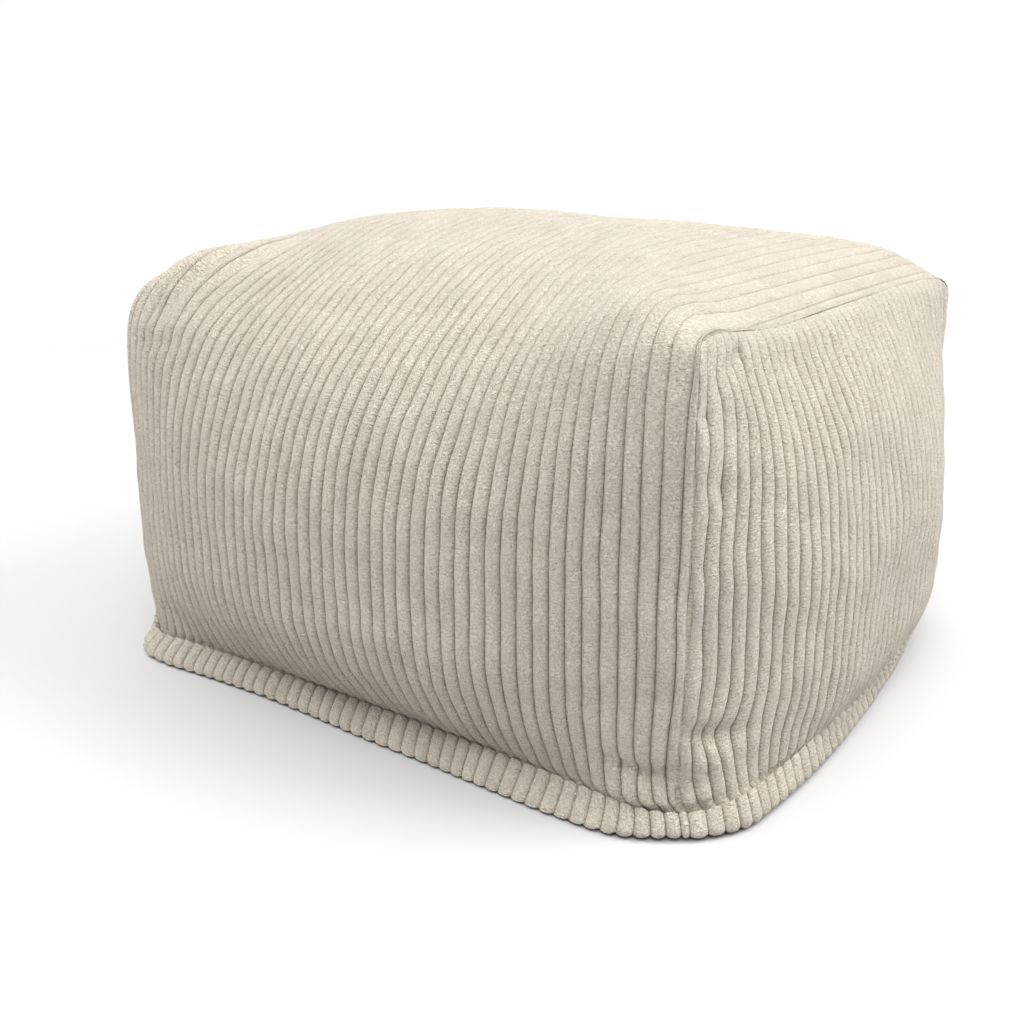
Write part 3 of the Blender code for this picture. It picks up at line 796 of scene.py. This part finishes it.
    shell = Shell()
    # The crest share, scaled by the relief, sets the grooves' painted shade: deeper on the walls than on the
    # top
    face = shell.add(outer, columns, run, 1 - (1 - filled * shares) * relief)
    back = shell.add(lining)
    shell.quads(face, FACE_TILE)
    shell.quads(back[::-1], LINING_TILE)
    shell.quads(np.stack([face[:, 0], back[:, 0]], 1), FOOT_TILE)
    shell.quads(np.stack([back[:, -1], face[:, -1]], 1), TOP_TILE)
    for edge, tile, trim_tile in zip((0, -1), SIDE_TILES, SIDE_TRIM_TILES):
        shell.quads(np.stack([face[edge, HEM:], back[edge]], 1), tile)
        shell.face([*face[edge, : HEM + 1], back[edge, 0]], trim_tile)
    return shell.build(name, [material], MERGE_DISTANCE)


def on_line(line, rows, hand):
    """Points on the wrap cover's edge at the given rows, as they lie on the right."""
    rows = np.asarray(rows, float)
    spots = np.stack([np.interp(rows, np.arange(len(line)), line[:, axis]) for axis in range(3)], -1)
    return spots * (hand.sign, 1, 1)


def base_cloth(material):
    """The plain sheet underneath, lying inside the ring of hems."""
    lines_x, lines_y = (np.linspace(-1, 1, cells + 1) for cells in BASE_CELLS)
    x_share, y_share = np.meshgrid(lines_x, lines_y, indexing="ij")
    half_x = BASE_HALF_X - BASE_INSET
    half_y = BASE_HALF_Y - BASE_INSET + FRONT_BASE_BULGE
    longest = np.maximum(np.abs(x_share), np.abs(y_share))
    power = BASE_CORNER_POWER
    size = (np.abs(x_share) ** power + np.abs(y_share) ** power) ** (1 / power)
    squeeze = np.where(size > 0, longest / np.maximum(size, TINY), 1.0)
    x, y = x_share * squeeze * half_x, y_share * squeeze * half_y
    edge = np.clip((1 - longest) / BASE_EDGE, 0, 1)
    top = BASE_THICKNESS * mix(BASE_EDGE_LEAST, 1, eased(1 - longest, BASE_EDGE))
    wave, wave_size, seed = BASE_WAVE
    bottom = FLOOR_CLEARANCE + BASE_EDGE_RISE * (1 - edge) + wave * (1 + swells(x, y, wave_size, seed))
    shell = Shell()
    upper = shell.add(pulled(np.stack([x, y, top], -1)), x, y, 1.0)
    lower = shell.add(pulled(np.stack([x, y, bottom], -1)), x, y, 1.0)
    shell.quads(upper, BASE_TOP_TILE)
    shell.quads(lower[::-1], BASE_UNDER_TILE)
    for edges in (
        (upper[0], lower[0]),
        (lower[-1], upper[-1]),
        (lower[:, 0], upper[:, 0]),
        (upper[:, -1], lower[:, -1]),
    ):
        shell.quads(np.stack(edges, 1), BASE_EDGE_TILE)
    return shell.build("base_cloth", [material])


# Materials
WHITE = (1.0, 1.0, 1.0, 1.0)
CREAM_LIGHT = (0.572, 0.521, 0.440, 1.0)
CREAM_DARK = (0.506, 0.457, 0.379, 1.0)
# Painted shade: the grooves' colour is darkened towards this warm grey, more on the walls than on the top
GROOVE_PAINTED_SHADE = (0.640, 0.600, 0.530, 1.0)
BASE_LIGHT = (0.60, 0.56, 0.48, 1.0)
BASE_DARK = (0.50, 0.46, 0.39, 1.0)
FLOOR_LIGHT = (0.51, 0.51, 0.51, 1.0)
FLOOR_DARK = (0.49, 0.49, 0.49, 1.0)
# Noises: scale, detail, roughness, distortion
FLECKS = (620.0, 2.5, 0.60, 1.2)
FINE_PILE = (1700.0, 2.0, 0.50, 0.0)
PATCHES = (34.0, 3.0, 0.55, 0.3)
SLUBS = (60.0, 3.0, 0.60, 0.0)
FLOOR_CLOUDS = (1.5, 2.0, 0.50, 0.0)
NOISE_EDGES = (0.30, 0.70)  # most of a noise lies between these
# Waves: scale, distortion, scale of the distortion's detail
WEFT_LINES = (150.0, 2.2, 2.0)
THREADS = (390.0, 0.8, 1.0)
WAVE_DETAIL = 2.0
# Tones: at a noise's or a wave's low and high
FLECK_TONES = (0.78, 1.20)
WEFT_TONES = (0.97, 1.02)
WEAVE_TONES = (0.86, 1.06)
GROOVE_SHADE_RANGE = (-0.30, 0.75)  # from a groove's bottom to where its painted shade ends
PILE_ROUGHNESS = (0.98, 0.86)
BASE_ROUGHNESS = (0.95, 0.85)
# Bumps: strength, depth in metres
FLECK_BUMP = (1.0, 0.0026)
PILE_BUMP = (0.50, 0.0010)
WEFT_BUMP = (0.25, 0.0005)
WEAVE_BUMP = (0.4, 0.0004)
SHEEN = {"Sheen Weight": 0.25, "Sheen Roughness": 0.55, "Sheen Tint": (1.0, 0.965, 0.90, 1.0)}
CORD_SPECULAR = 0.15
FLOOR_SPECULAR = 0.1
FLOOR_ROUGHNESS = 0.95
FLOOR_FADE = (0.75, 1.70)  # metres from the middle over which the floor gives way to the white
MIX_DARK, MIX_LIGHT, MIX_RESULT = 6, 7, 2  # a mix node's colour sockets


def new_material(name):
    """A material with its node tree and its shader."""
    material = bpy.data.materials.new(name)
    material.use_nodes = True
    return material, material.node_tree, material.node_tree.nodes["Principled BSDF"]


def add_node(tree, kind, **values):
    """A node with its inputs, or else its settings, given by name."""
    node = tree.nodes.new(kind)
    for name, value in values.items():
        if name in node.inputs:
            node.inputs[name].default_value = value
        else:
            setattr(node, name, value)
    return node


def noise(tree, vector, kind):
    node = tree.nodes.new("ShaderNodeTexNoise")
    for name, number in zip(("Scale", "Detail", "Roughness", "Distortion"), kind):
        node.inputs[name].default_value = number
    tree.links.new(vector, node.inputs["Vector"])
    return node.outputs["Fac"]


def wave(tree, vector, direction, kind):
    """Bands that follow one another along an axis."""
    node = add_node(tree, "ShaderNodeTexWave", bands_direction=direction, Detail=WAVE_DETAIL)
    for name, number in zip(("Scale", "Distortion", "Detail Scale"), kind):
        node.inputs[name].default_value = number
    tree.links.new(vector, node.inputs["Vector"])
    return node.outputs["Fac"]


def remap(tree, value, low, high, to_low, to_high):
    node = tree.nodes.new("ShaderNodeMapRange")
    node.clamp = True
    for name, number in (("From Min", low), ("From Max", high), ("To Min", to_low), ("To Max", to_high)):
        node.inputs[name].default_value = number
    tree.links.new(value, node.inputs["Value"])
    return node.outputs["Result"]


def multiply(tree, first, second):
    node = add_node(tree, "ShaderNodeMath", operation="MULTIPLY")
    tree.links.new(first, node.inputs[0])
    tree.links.new(second, node.inputs[1])
    return node.outputs["Value"]


def blend(tree, factor, dark, light):
    node = add_node(tree, "ShaderNodeMix", data_type="RGBA")
    tree.links.new(factor, node.inputs["Factor"])
    node.inputs[MIX_DARK].default_value = dark
    node.inputs[MIX_LIGHT].default_value = light
    return node.outputs[MIX_RESULT]


def scaled_colour(tree, colour, factor):
    node = add_node(tree, "ShaderNodeVectorMath", operation="SCALE")
    tree.links.new(colour, node.inputs[0])
    tree.links.new(factor, node.inputs["Scale"])
    return node.outputs["Vector"]


def tinted(tree, colour, tint):
    node = add_node(tree, "ShaderNodeVectorMath", operation="MULTIPLY")
    tree.links.new(colour, node.inputs[0])
    tree.links.new(tint, node.inputs[1])
    return node.outputs["Vector"]


def bump(tree, height, strength, distance, normal=None):
    node = add_node(tree, "ShaderNodeBump", Strength=strength, Distance=distance)
    tree.links.new(height, node.inputs["Height"])
    if normal is not None:
        tree.links.new(normal, node.inputs["Normal"])
    return node.outputs["Normal"]


def cord_material():
    """Cut cotton pile: short flecks that lie both ways, faint weft lines, painted shade in the grooves and a
    soft sheen.
    """
    material, tree, shader = new_material("jumbo_cord_pile")
    cloth = add_node(tree, "ShaderNodeAttribute", attribute_name="cloth").outputs["Vector"]
    crest = add_node(tree, "ShaderNodeAttribute", attribute_name="crest").outputs["Fac"]
    flecks = noise(tree, cloth, FLECKS)
    fine = noise(tree, cloth, FINE_PILE)
    patches = noise(tree, cloth, PATCHES)
    lines = wave(tree, cloth, "Y", WEFT_LINES)

    colour = blend(tree, remap(tree, patches, *NOISE_EDGES, 0.0, 1.0), CREAM_DARK, CREAM_LIGHT)
    # Painted shade: the colour is darkened in the grooves by the crest share
    groove_shade = blend(tree, remap(tree, crest, *GROOVE_SHADE_RANGE, 0.0, 1.0), GROOVE_PAINTED_SHADE, WHITE)
    fleck_tone = remap(tree, flecks, *NOISE_EDGES, *FLECK_TONES)
    line_tone = remap(tree, lines, 0.0, 1.0, *WEFT_TONES)
    tone = multiply(tree, fleck_tone, line_tone)
    tree.links.new(scaled_colour(tree, tinted(tree, colour, groove_shade), tone), shader.inputs["Base Color"])
    rough = bump(tree, flecks, *FLECK_BUMP)
    rough = bump(tree, fine, *PILE_BUMP, rough)
    rough = bump(tree, lines, *WEFT_BUMP, rough)
    tree.links.new(rough, shader.inputs["Normal"])
    tree.links.new(remap(tree, flecks, *NOISE_EDGES, *PILE_ROUGHNESS), shader.inputs["Roughness"])
    for name, value in SHEEN.items():
        shader.inputs[name].default_value = value
    shader.inputs["Specular IOR Level"].default_value = CORD_SPECULAR
    return material


def base_material():
    """Plain woven cloth: threads that cross, with a few slubs."""
    material, tree, shader = new_material("plain_base_cloth")
    cloth = add_node(tree, "ShaderNodeAttribute", attribute_name="cloth").outputs["Vector"]
    weave = multiply(tree, wave(tree, cloth, "X", THREADS), wave(tree, cloth, "Y", THREADS))
    slubs = noise(tree, cloth, SLUBS)
    colour = blend(tree, remap(tree, slubs, *NOISE_EDGES, 0.0, 1.0), BASE_DARK, BASE_LIGHT)
    tone = remap(tree, weave, 0.0, 1.0, *WEAVE_TONES)
    tree.links.new(scaled_colour(tree, colour, tone), shader.inputs["Base Color"])
    tree.links.new(bump(tree, weave, *WEAVE_BUMP), shader.inputs["Normal"])
    tree.links.new(remap(tree, slubs, *NOISE_EDGES, *BASE_ROUGHNESS), shader.inputs["Roughness"])
    return material


def floor_material():
    """Pale and matt, and clear further off."""
    material, tree, shader = new_material("pale_floor")
    place = tree.nodes.new("ShaderNodeTexCoord").outputs["Object"]
    colour = blend(tree, noise(tree, place, FLOOR_CLOUDS), FLOOR_DARK, FLOOR_LIGHT)
    tree.links.new(colour, shader.inputs["Base Color"])
    distance = add_node(tree, "ShaderNodeVectorMath", operation="LENGTH")
    tree.links.new(place, distance.inputs[0])
    shown = remap(tree, distance.outputs["Value"], *FLOOR_FADE, 1.0, 0.0)
    tree.links.new(shown, shader.inputs["Alpha"])
    shader.inputs["Roughness"].default_value = FLOOR_ROUGHNESS
    shader.inputs["Specular IOR Level"].default_value = FLOOR_SPECULAR
    return material


# Stage
SKY_LOW = 1.02  # the white near and below the horizon
SKY_LOW_EDGE = (0.14, 0.26)
SKY_HIGH = 2.51  # and the soft light overhead
SKY_HIGH_EDGE = (0.70, 0.85)
FLOOR_REACH = 12.0
FLOOR_DROP = 0.0005
LIGHT_DISTANCE = 2.6
LIGHT_SIDE = 1.4
LIGHT_TARGET = (0.0, 0.0, 0.15)
LIGHTS = (  # name, bearing and height in degrees, watts
    ("right_key", 30, 40, 68.0),
    ("front_fill", -60, 50, 39.7),
    ("left_fill", -150, 30, 29.0),
    ("back_fill", 150, 45, 8.7),
)


def aimed(name, data, place, target):
    """An object that looks from its place towards a target."""
    made = bpy.data.objects.new(name, data)
    made.location = place
    direction = np.array(target) - np.array(place)
    made.rotation_euler = Vector(direction).to_track_quat("-Z", "Y").to_euler()
    bpy.context.scene.collection.objects.link(made)
    return made


def area_light(name, bearing, height, watts):
    light = bpy.data.lights.new(name, "AREA")
    light.shape = "SQUARE"
    light.size = LIGHT_SIDE
    light.energy = watts
    turn, rise = math.radians(bearing), math.radians(height)
    way = np.array((math.cos(rise) * math.cos(turn), math.cos(rise) * math.sin(turn), math.sin(rise)))
    return aimed(name, light, np.array(LIGHT_TARGET) + LIGHT_DISTANCE * way, LIGHT_TARGET)


def studio(floor_finish):
    """A pale floor under a white sky, with four soft lights."""
    scene = bpy.context.scene
    world = bpy.data.worlds.new("studio_white")
    scene.world = world
    world.use_nodes = True
    tree = world.node_tree
    place = tree.nodes.new("ShaderNodeTexCoord")
    parts = tree.nodes.new("ShaderNodeSeparateXYZ")
    tree.links.new(place.outputs["Generated"], parts.inputs[0])
    low = remap(tree, parts.outputs["Z"], *SKY_LOW_EDGE, SKY_LOW, 0.0)
    high = remap(tree, parts.outputs["Z"], *SKY_HIGH_EDGE, 0.0, SKY_HIGH)
    total = add_node(tree, "ShaderNodeMath", operation="ADD")
    tree.links.new(low, total.inputs[0])
    tree.links.new(high, total.inputs[1])
    sky = tree.nodes["Background"]
    sky.inputs["Color"].default_value = WHITE
    tree.links.new(total.outputs["Value"], sky.inputs["Strength"])
    corners = [(x * FLOOR_REACH, y * FLOOR_REACH, 0) for x, y in ((-1, -1), (1, -1), (1, 1), (-1, 1))]
    mesh = bpy.data.meshes.new("floor")
    mesh.from_pydata(corners, [], [(0, 1, 2, 3)])
    mesh.materials.append(floor_finish)
    floor = bpy.data.objects.new("floor", mesh)
    floor.location.z = -FLOOR_DROP
    scene.collection.objects.link(floor)
    for light in LIGHTS:
        area_light(*light)
    scene.view_settings.view_transform = "Standard"


# Camera: metres, radians and pixels
CAMERA_PLACE = (0.52115, -0.76018, 0.40407)
CAMERA_YAW = 0.6260
CAMERA_PITCH = 0.3228
CAMERA_ROLL = 0.0016
FOCAL_PX = 1267.02
CENTRE_SHIFT_PX = (4.68, -3.87)
PICTURE_PX = 1024
SENSOR_MM = 36.0
CLIP_START = 0.05


def camera():
    data = bpy.data.cameras.new("photo_camera")
    data.sensor_width = SENSOR_MM
    data.lens = FOCAL_PX / PICTURE_PX * SENSOR_MM
    data.shift_x = -CENTRE_SHIFT_PX[0] / PICTURE_PX
    data.shift_y = CENTRE_SHIFT_PX[1] / PICTURE_PX
    data.clip_start = CLIP_START
    made = bpy.data.objects.new("photo_camera", data)
    forward = np.array(
        (
            -math.sin(CAMERA_YAW) * math.cos(CAMERA_PITCH),
            math.cos(CAMERA_YAW) * math.cos(CAMERA_PITCH),
            -math.sin(CAMERA_PITCH),
        )
    )
    level_right = np.array((math.cos(CAMERA_YAW), math.sin(CAMERA_YAW), 0.0))
    level_up = np.cross(level_right, forward)
    right = math.cos(CAMERA_ROLL) * level_right + math.sin(CAMERA_ROLL) * level_up
    up = -math.sin(CAMERA_ROLL) * level_right + math.cos(CAMERA_ROLL) * level_up
    turn = Matrix([list(row) for row in np.stack([right, up, -forward], 1)]).to_4x4()
    made.matrix_world = Matrix.Translation(CAMERA_PLACE) @ turn
    bpy.context.scene.collection.objects.link(made)
    bpy.context.scene.camera = made


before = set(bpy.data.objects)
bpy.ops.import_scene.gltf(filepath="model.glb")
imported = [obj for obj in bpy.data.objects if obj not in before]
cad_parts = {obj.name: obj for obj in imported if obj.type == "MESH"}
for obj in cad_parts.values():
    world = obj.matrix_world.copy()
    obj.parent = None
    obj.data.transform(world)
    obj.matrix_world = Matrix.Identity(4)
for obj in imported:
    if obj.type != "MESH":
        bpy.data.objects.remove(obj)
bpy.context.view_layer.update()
camera()
studio(floor_material())
cord = cord_material()

wrap, right_line, left_line = wrap_cover(cord)
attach(wrap, "root")
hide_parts("wrap_panel")

for name, hand, line, creases, wanders, slide, seed in (
    ("right", RIGHT, right_line, END_CREASES, END_WANDER, RIB_SLIDE_END, 11),
    ("left", LEFT, left_line, (), (), 0.0, 21),
):
    cover = end_cover("end_cover_" + name, hand, line, creases, wanders, slide, seed, cord)
    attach(cover, "root")
    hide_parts("end_panel_" + name)

under = base_cloth(base_material())
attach(under, "root")
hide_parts("base_panel")
